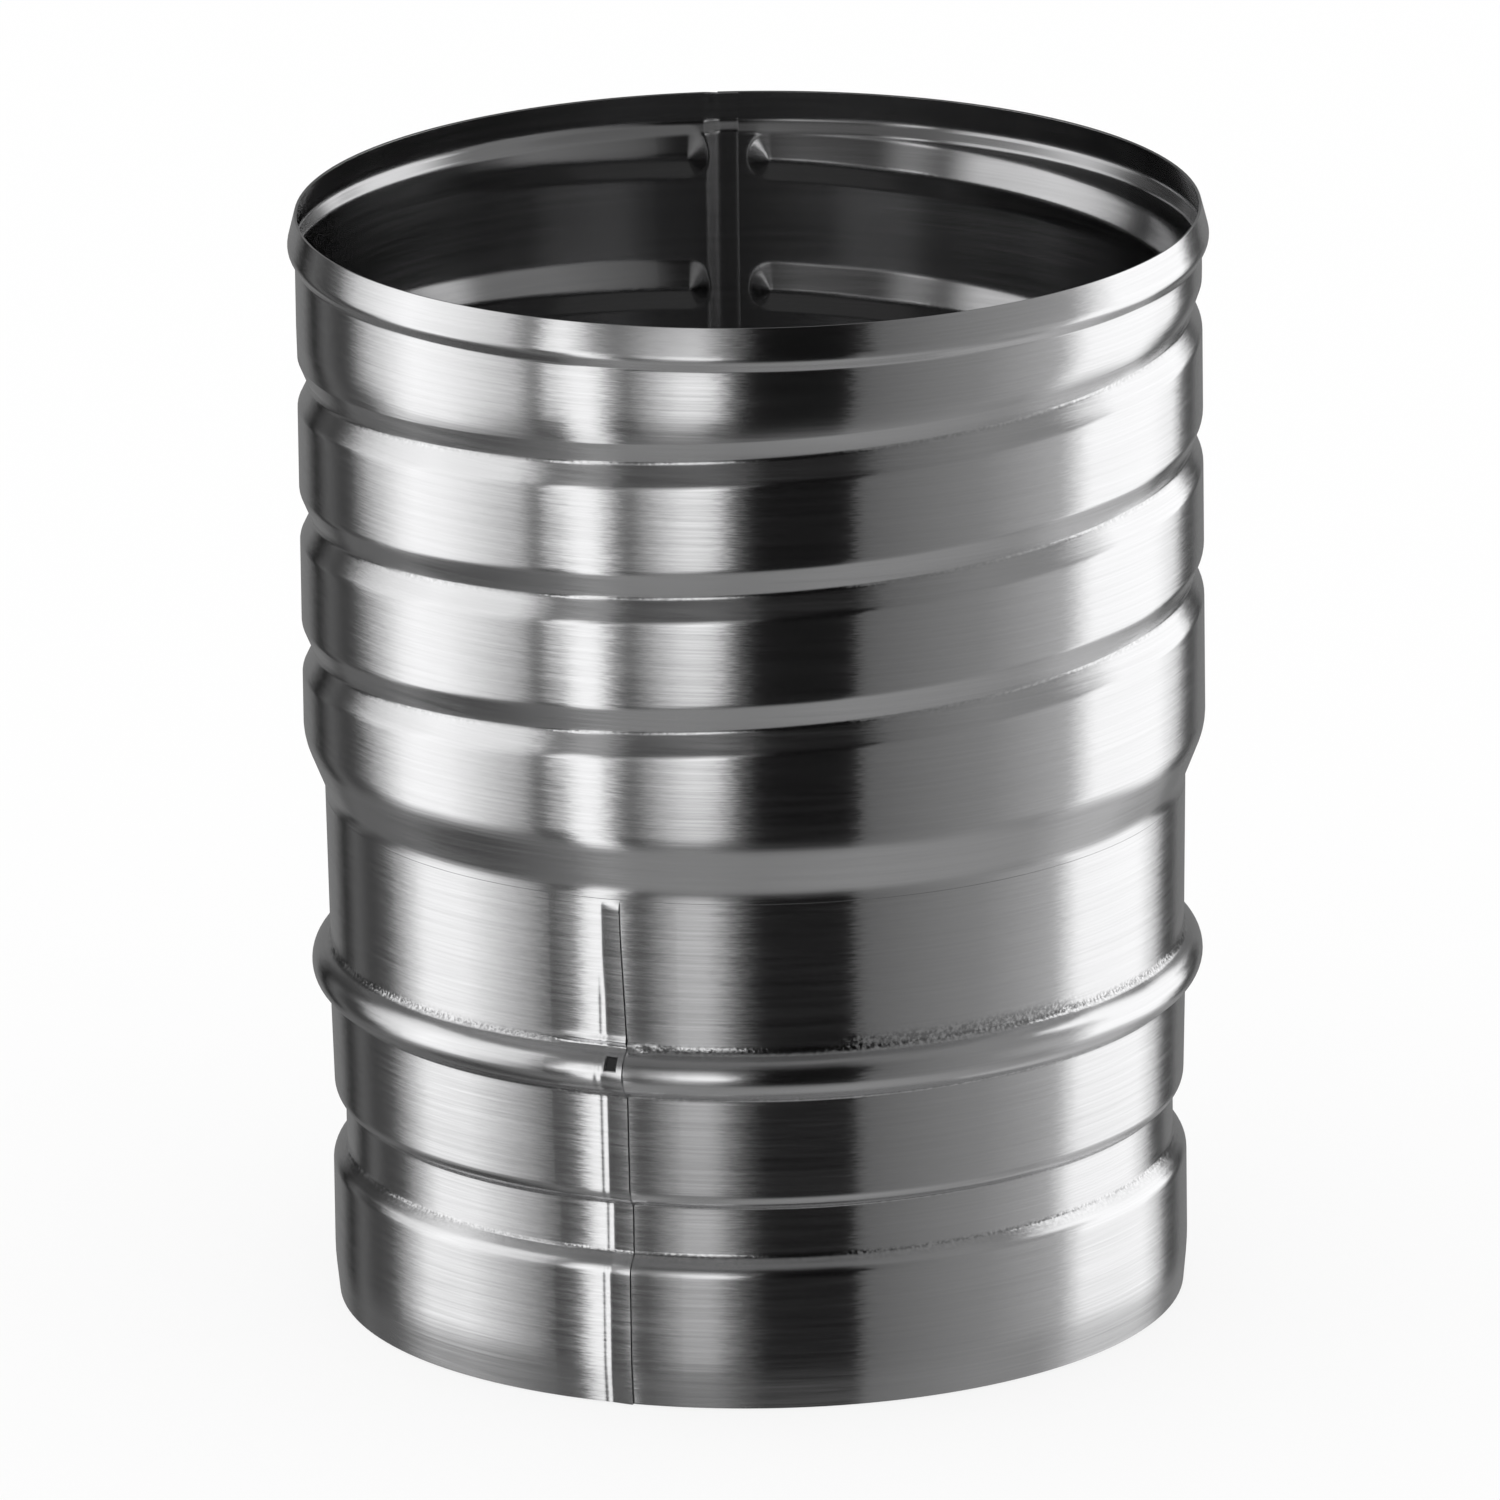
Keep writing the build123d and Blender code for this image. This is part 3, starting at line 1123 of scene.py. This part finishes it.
    def world(self) -> None:
        """Sets an even white world."""
        world = bpy.data.worlds.new("white_studio")
        world.use_nodes = True
        sheet = NodeSheet(world.node_tree)
        air = sheet.add("ShaderNodeBackground", (1.0, 1.0, 1.0, 1.0), 1.0)
        sheet.add("ShaderNodeOutputWorld", air.outputs[0])
        bpy.context.scene.world = world


@dataclass
class PhotoCamera:
    """Camera at the photograph's viewing angle, in metres, degrees and photo pixels."""

    distance: float = 3.9
    elevation: float = 16.55
    aim_height: float = 0.097
    aim_x: float = 754.84
    aim_y: float = 747.2
    pixels_per_mm: float = 5.733
    roll: float = -0.76
    sensor: float = 36.0

    def build(self) -> bpy.types.Object:
        """Makes the camera and sets it as the scene's own.

        Returns:
            The camera.
        """
        lens = bpy.data.cameras.new("photo_camera")
        lens.sensor_width = self.sensor
        lens.lens = self.sensor * self.distance * self.pixels_per_mm / (PHOTO_SIDE * MM)
        lens.shift_x = (PHOTO_SIDE / 2 - self.aim_x) / PHOTO_SIDE
        lens.shift_y = (self.aim_y - PHOTO_SIDE / 2) / PHOTO_SIDE
        lens.clip_end = 100.0
        lens.dof.use_dof = False
        tilt = math.radians(self.elevation)
        aim = Vector((0.0, 0.0, self.aim_height))
        stand = aim + self.distance * Vector((0.0, -math.cos(tilt), math.sin(tilt)))
        turn = (aim - stand).to_track_quat("-Z", "Y").to_matrix().to_4x4()
        camera = bpy.data.objects.new("photo_camera", lens)
        roll = Matrix.Rotation(math.radians(self.roll), 4, "Z")
        camera.matrix_world = Matrix.Translation(stand) @ turn @ roll
        bpy.context.scene.collection.objects.link(camera)
        bpy.context.scene.camera = camera
        return camera


def main() -> None:
    """Builds the tubes, the studio and the camera."""
    logging.basicConfig(level=logging.INFO, format="%(name)s: %(message)s")
    steel = BrushedSteel().material()
    for tube in (ThreadedSleeve(), Spigot()):
        piece = tube.build()
        tube.dress(piece, steel)
        LOG.info("%s: %d faces", piece.name, len(piece.data.polygons))
    Studio().build()
    LOG.info("studio is up")
    PhotoCamera().build()
    LOG.info("camera is set")
    bpy.context.scene.view_settings.view_transform = "Standard"
    bpy.context.view_layer.update()


if __name__ == "__main__":
    main()
